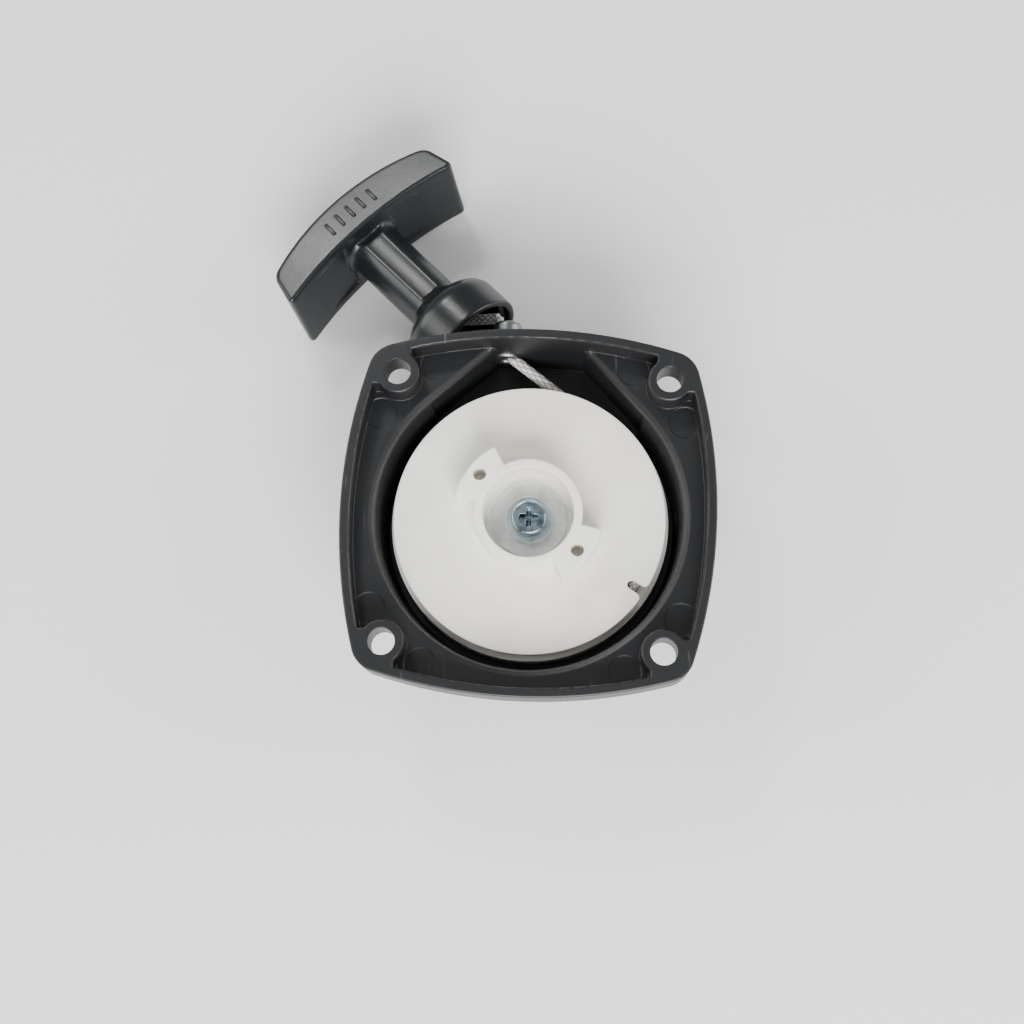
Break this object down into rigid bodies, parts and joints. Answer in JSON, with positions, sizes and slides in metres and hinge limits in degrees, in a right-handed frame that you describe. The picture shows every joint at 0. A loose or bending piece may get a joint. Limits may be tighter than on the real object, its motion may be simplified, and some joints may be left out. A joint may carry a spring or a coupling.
{
  "type": "recoil starter",
  "caption": "Square rope starter for a small engine: moulded housing, spring-loaded rope reel with drive dogs, and a T-handle on a braided rope.",
  "frame": {"origin": "centre of the four mounting holes, on the mounting face, on the reel's axis", "axes": "+Z along the reel's axis, from the housing towards the engine; the rope leaves through the +Y side"},
  "size_m": [0.1239, 0.1582, 0.045],
  "materials": {
    "housing_nylon": "moulded, satin",
    "handle_plastic": "moulded, semi-gloss",
    "reel_nylon": "moulded, natural white",
    "zinc_steel": "zinc plated, blue passivated",
    "spring_steel": "blued and oiled",
    "case_steel": "pressed sheet",
    "guide_steel": "polished",
    "insert_brass": "turned",
    "rope_nylon": "braided"
  },
  "bodies": {
    "starter_body": {"housing": "housing_nylon", "rope_guide": "guide_steel", "threaded_insert": "insert_brass", "retaining_washer": "zinc_steel", "flat_washer": "zinc_steel", "pivot_screw": "zinc_steel", "spring_case": "case_steel", "recoil_spring": "spring_steel", "rope_run": "rope_nylon"},
    "rope_reel": {"reel": "reel_nylon", "rope_coil": "rope_nylon", "reel_knot": "rope_nylon"},
    "rope_end": {"rope_lead": "rope_nylon"},
    "pull_handle": {"handle": "handle_plastic", "handle_rope": "rope_nylon", "handle_knot": "rope_nylon"}
  },
  "joints": [
    {"name": "handle_pull", "type": "slide", "parent": "starter_body", "child": "rope_end", "axis": [-0.7133, 0.7009, 0], "range_m": [0, 0.62]},
    {"name": "reel_spin", "type": "hinge", "parent": "starter_body", "child": "rope_reel", "pos_m": [0, 0, -0.017], "axis": [0, 0, 1], "range_deg": [0, 1250], "stiffness_Nm_per_rad": 0.015, "springref_deg": -1145.92},
    {"name": "handle_tilt", "type": "hinge", "parent": "rope_end", "child": "pull_handle", "pos_m": [-0.02497, 0.05924, -0.02456], "axis": [0.7009, 0.7133, 0], "range_deg": [0, 9]}
  ],
  "couplings": [
    {"joint": "reel_spin", "follows": "handle_pull", "rad_per_m": 35.1}
  ]
}
